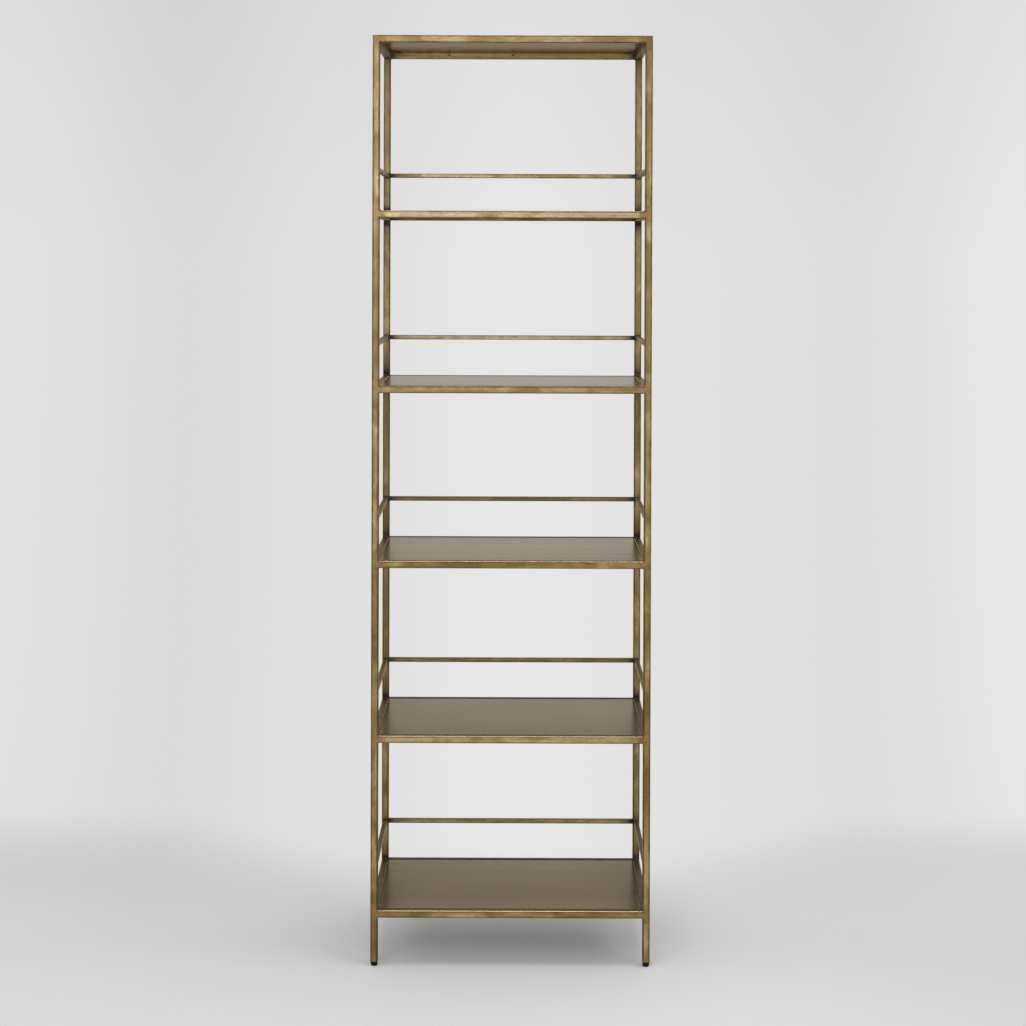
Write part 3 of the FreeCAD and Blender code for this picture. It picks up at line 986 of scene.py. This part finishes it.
def make_tier_welds(tier, material, seeds):
    """The beads between a tier's rails and the posts, and those where two rails meet inside a corner."""
    shape = Shape()
    bottom, top = (corner.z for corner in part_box(tier + "_rail_front"))
    upward = Vector((0.0, 0.0, 1.0))
    beads = [(bottom, -upward, weld_below.get(tier, weld_small))]
    if tier != "top":
        beads.append((top, upward, weld_above.get(tier, weld_small)))
    for end, side in CORNERS:
        centre, half, _, _ = member(f"post_{end}_{side}", across=0)
        axis_of_post = Vector((centre.x, centre.y, 0.0))
        inward_x = Vector((1.0 if side == "left" else -1.0, 0.0, 0.0))
        inward_y = Vector((0.0, 1.0 if end == "front" else -1.0, 0.0))
        dark = 0.85 if end == "rear" else 0.95 if tier == "top" else 0.05
        for inward, across in ((inward_x, inward_y), (inward_y, inward_x)):
            for height, up, sizes in beads:
                corner = axis_of_post + inward * half + upward * height
                legs = (dice.uniform(*sizes), dice.uniform(*sizes))
                fillet(shape, corner, inward, up, across, legs, 2 * half, tube_radius, next(seeds), dark)
        corner = axis_of_post + inward_x * half + inward_y * half + upward * (bottom + top) / 2
        legs = (dice.uniform(*weld_inside), dice.uniform(*weld_inside))
        width, rounding = top - bottom - 2 * MM, 0.4 * MM
        fillet(shape, corner, inward_x, inward_y, upward, legs, width, rounding, next(seeds), dark)
    shape.piece(tier + "_welds", material, "brass_tube", tidy_normals=True, crease=60.0)


def make_gallery_welds(tier, material, seeds):
    """The beads at the ends of a tier's gallery bars."""
    shape = Shape()
    for where, axis in GALLERY:
        centre, half, low, high = member(f"{tier}_gallery_{where}")
        for corner, along in ((low, 1), (high, -1)):
            place = centre.copy()
            place[axis] = corner[axis]
            dark = 0.95 if axis == 0 or corner[1] > 0 else 0.35
            bar_weld(shape, place, along, axis, half, dice.uniform(*weld_round_bar), next(seeds), dark)
    shape.piece(tier + "_gallery_welds", material, "brass_bar", tidy_normals=True, crease=60.0)


# Feet

def make_pad(end, side, material):
    """Round moulded pad with a soft lower edge, a raised lip and a pocket for the stud's head."""
    node = f"glide_pad_{end}_{side}"
    centre, outer, _, high = member(node, across=0)
    top = high.z
    neck, pocket, pocket_top = 3.05 * MM, 5.05 * MM, 5.55 * MM
    pocket_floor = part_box(f"glide_stud_{end}_{side}")[0].z - 0.05 * MM
    outline = [(tip_radius, 0.0)]
    outline += rounded_corner(outer - 2.6 * MM, 2.0 * MM, 2.0 * MM, -90, -8)
    outline += rounded_corner(outer - 0.7 * MM, top - 1.9 * MM, 0.7 * MM, 0, 78)
    outline += [(outer - 1.5 * MM, top - 1.15 * MM), (outer - 1.7 * MM, top - 0.75 * MM)]
    outline += rounded_corner(outer - 2.2 * MM, top - 0.5 * MM, 0.5 * MM, 0, 90)
    outline += [(neck + 0.5 * MM, top)]
    outline += rounded_corner(neck + 0.5 * MM, top - 0.5 * MM, 0.5 * MM, 90, 180, 3)
    outline += [(neck, pocket_top), (pocket, pocket_top), (pocket, pocket_floor), (tip_radius, pocket_floor)]
    shape = Shape()
    rings = [shape.ring(turned(centre, [radius] * 64, height)) for radius, height in outline]
    shape.skin(rings)
    shape.band(rings[-1], rings[0])
    body = f"pad_{end}_{side}"
    shape.piece(node + "_moulding", material, "glide_black", body=body, stands_for=[node], tidy_normals=True)


def make_stud(end, side, material):
    """Stud with a round head and a rolled thread of 1 mm pitch."""
    node = f"glide_stud_{end}_{side}"
    centre, head, low, high = member(node, across=0)
    head_top = low.z + 2.5 * MM
    major, minor, pitch, segments = 3.0 * MM, 2.45 * MM, 1.0 * MM, 48
    thread_low, thread_high = head_top + 1.0 * MM, high.z - 0.8 * MM
    outline = [(tip_radius, low.z)]
    outline += rounded_corner(head - 0.4 * MM, low.z + 0.4 * MM, 0.4 * MM, -90, 0, 3)
    outline += rounded_corner(head - 0.4 * MM, head_top - 0.4 * MM, 0.4 * MM, 0, 90, 3)
    outline += [(minor + 0.15 * MM, head_top), (minor, head_top + 0.15 * MM), (minor, thread_low)]
    levels = [([radius] * segments, height) for radius, height in outline]
    rows = int(round((thread_high - thread_low) / pitch * 8))
    for row in range(1, rows + 1):
        height = thread_low + (thread_high - thread_low) * row / rows
        rise, fall = height - thread_low, thread_high + 0.2 * pitch - height
        fade = max(0.0, min(1.0, rise / (1.2 * pitch), fall / (0.8 * pitch)))
        radii = []
        for step in range(segments):
            phase = (rise / pitch - step / segments) % 1.0
            crest = max(0.0, min(1.0, 1.45 - 2.9 * abs(phase - 0.5)))
            radii.append(minor + (major - minor) * fade * crest)
        levels.append((radii, height))
    for radius, height in ((minor, high.z - 0.6 * MM), (minor - 0.5 * MM, high.z), (tip_radius, high.z)):
        levels.append(([radius] * segments, height))
    shape = Shape()
    shape.closed_skin([shape.ring(turned(centre, radii, height)) for radii, height in levels])
    body = f"stud_{end}_{side}"
    shape.piece(node + "_threaded", material, "zinc_stud", body=body, stands_for=[node], crease=50.0)


def make_inserts(material):
    """Four ribbed plugs with a rounded flange between pad and post, bored for the studs."""
    bottom, top = (corner.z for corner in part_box("foot_inserts"))
    bore_of_stud, rib_pitch, round_edge = 3.05 * MM, 5.0 * MM, 0.35 * MM
    shape = Shape()
    for end, side in CORNERS:
        centre, half, low, _ = member(f"post_{end}_{side}", across=0)
        flange = half - 0.4 * MM
        wall, core = half - tube_wall - 0.05 * MM, half - tube_wall - 1.4 * MM
        levels = [(bottom, flange - round_edge, 1.5 * MM), (bottom + 0.1 * MM, flange - 0.1 * MM, 1.6 * MM)]
        levels += [(height, flange, 1.7 * MM) for height in (bottom + round_edge, low.z)]
        levels.append((low.z, core, 0.8 * MM))
        height = low.z + rib_pitch / 2
        while height + rib_pitch / 2 < top:
            rib_top = height + rib_pitch / 2
            levels += [(height, core, 0.8 * MM), (height, wall, 0.9 * MM)]
            levels += [(height + 0.9 * MM, wall, 0.9 * MM), (rib_top, wall - 0.5 * MM, 0.7 * MM)]
            levels.append((rib_top, core, 0.8 * MM))
            height += rib_pitch
        levels.append((top, core, 0.8 * MM))
        rings = []
        for height, reach, radius in levels:
            rings.append(shape.ring(laid(2, height, rounded_square(reach, radius)[0], centre)))
        shape.skin(rings)
        ways = [(shape.points[index].xy - centre.xy).normalized() * bore_of_stud for index in rings[0]]
        inner = [shape.ring(laid(2, place, ways, centre)) for place in (bottom, top)]
        shape.band(rings[-1], inner[1])
        shape.band(inner[1], inner[0])
        shape.band(inner[0], rings[0])
    shape.piece("foot_insert_mouldings", material, "foot_nylon", stands_for=["foot_inserts"])


# The whole object

def make_frame():
    """Posts, rails, panels, gallery bars, the strips of painted shade in the panels' gaps, and welds."""
    brass = [brushed_brass(f"brass_along_{letter}", axis) for axis, letter in enumerate("xyz")]
    bar_brass = [brushed_brass(f"bar_brass_along_{letter}", axis, 0.6) for axis, letter in enumerate("xy")]
    # A yellower copy of the brass for the rear top rail, as painted light on its face in shade under the top
    # panel
    shaded_brass = brushed_brass("brass_under_the_top", 0, -1.0)
    sheet = bronze_sheet("bronze_sheet_brushed")
    make_posts(brass[2])
    for tier in TIERS:
        for where, axis in (("front", 0), *GALLERY):
            under_top = tier == "top" and where == "rear"
            material = shaded_brass if under_top else brass[axis]
            make_rail(f"{tier}_rail_{where}", axis, material, with_holes=under_top)
        make_panel(tier + "_panel", sheet)
    for tier in SHELVES:
        for where, axis in GALLERY:
            make_bar(f"{tier}_gallery_{where}", axis, bar_brass[axis])
    make_gap_shade_strips(gap_shade_black("dark_panel_seam"))
    seeds = itertools.count(1)
    for tier in TIERS:
        make_tier_welds(tier, brass[1], seeds)
        if tier != "top":
            make_gallery_welds(tier, brass[1], seeds)


def make_small_parts():
    """Tabs' finish, feet, and the plugs and caps of the wall holes."""
    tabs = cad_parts["panel_tabs"].data.materials
    tabs.clear()
    tabs.append(tab_brass("brass_on_tabs"))
    pad_black = moulded_black("black_nylon_pad", (0.01, 0.009, 0.006), (0.005, 0.004, 0.003), 0.46, 0.1)
    insert_black = moulded_black("black_nylon_insert", (0.062, 0.054, 0.04), (0.028, 0.024, 0.017), 0.42, 0.3)
    zinc = zinc_plate("zinc_plated_steel")
    for end, side in CORNERS:
        make_pad(end, side, pad_black)
        make_stud(end, side, zinc)
    make_inserts(insert_black)
    inner, outer = (corner.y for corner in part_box("top_rail_rear"))
    cap_depth = 0.15 * MM
    make_hole_plugs("wall_hole_plugs", insert_black, "foot_nylon", outer, -1.0)
    make_hole_plugs("wall_hole_caps", tabs[0], "tab_steel", inner + cap_depth, 1.0)


# Studio

def make_floor():
    """A wide disc of floor that ends far outside the view."""
    mesh = bpy.data.meshes.new("studio_floor")
    work = bmesh.new()
    bmesh.ops.create_circle(work, cap_ends=True, segments=96, radius=40.0)
    work.to_mesh(mesh)
    work.free()
    floor = put_in_scene("studio_floor", mesh)
    mesh.materials.append(studio_floor("studio_floor_paint"))


def make_world(fill):
    """Pale surroundings: the backdrop's tone where they are seen, and an even strength for their light."""
    nodes = Nodes(bpy.data.worlds.new("studio"))
    bpy.context.scene.world = nodes.owner
    across, up = (nodes.coordinate("Generated", axis) for axis in "XZ")
    shaded = nodes.add("ShaderNodeVectorMath", operation="SCALE")
    nodes.feed(shaded.inputs[0], backdrop_tone(nodes, across))
    nodes.feed(shaded.inputs["Scale"], nodes.span(up, 0.0, 0.13, 1.0, 0.94))
    level = nodes.mix(seen_rays(nodes), (fill, fill, fill), shaded.outputs["Vector"])
    nodes.feed(nodes.tree.nodes["Background"].inputs["Color"], level)


def make_softbox(name, place, aim, width, height, power):
    light = bpy.data.lights.new(name, "AREA")
    light.shape, light.size, light.size_y, light.energy = "RECTANGLE", width, height, power
    lamp = put_in_scene(name, light)
    lamp.location = place
    lamp.rotation_euler = (Vector(aim) - Vector(place)).to_track_quat("-Z", "Y").to_euler()
    lamp.visible_camera = False


def make_camera():
    data = bpy.data.cameras.new("camera")
    data.lens, data.sensor_width, data.shift_y = camera_lens, camera_sensor, camera_shift
    camera = put_in_scene("camera", data)
    turn = Matrix.Rotation(camera_yaw, 4, "Z") @ Matrix.Rotation(math.radians(90) - camera_pitch, 4, "X")
    camera.matrix_world = Matrix.Translation(camera_place) @ turn @ Matrix.Rotation(camera_roll, 4, "Z")
    bpy.context.scene.camera = camera


def light_up():
    make_floor()
    make_world(0.54)
    make_softbox("key_softbox", (-1.7, -4.0, 2.5), (0.0, 0.0, 1.4), 2.4, 2.0, 54.0)
    make_softbox("fill_softbox", (2.4, -2.4, 1.2), (0.0, 0.0, 0.3), 1.4, 1.6, 24.0)
    make_softbox("top_softbox", (0.27, -0.83, 8.0), (0.0, -0.1, 0.0), 3.4, 3.4, 185.0)
    make_softbox("right_softbox", (2.6, -0.2, 2.9), (0.0, 0.0, 0.0), 1.3, 1.3, 15.0)
    make_softbox("left_softbox", (-2.6, -0.2, 2.9), (0.0, 0.0, 0.0), 1.3, 1.3, 9.0)


make_camera()
make_frame()
make_small_parts()
light_up()
bpy.context.scene.view_settings.view_transform = "Standard"
